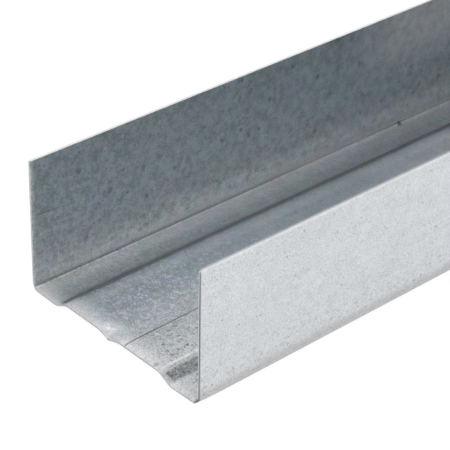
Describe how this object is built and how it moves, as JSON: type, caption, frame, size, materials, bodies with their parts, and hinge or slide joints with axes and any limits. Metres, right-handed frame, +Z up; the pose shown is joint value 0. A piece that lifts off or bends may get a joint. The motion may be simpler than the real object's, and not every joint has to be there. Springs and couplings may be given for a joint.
{
  "type": "drywall track",
  "caption": "Roll-formed U channel of galvanised steel sheet with a raised web, fixed to a floor or ceiling to hold the ends of wall studs.",
  "frame": {"origin": "on the floor under the middle of the web, at mid-length", "axes": "+X across the web, +Y along the length away from the dimpled end, +Z up between the flanges"},
  "size_m": [0.05, 3, 0.03],
  "materials": {
    "galvanised_sheet": "dull hot-dip zinc with a fine grain, faint rolling streaks and small dark specks"
  },
  "bodies": {
    "root": {"track": "galvanised_sheet"}
  },
  "joints": []
}
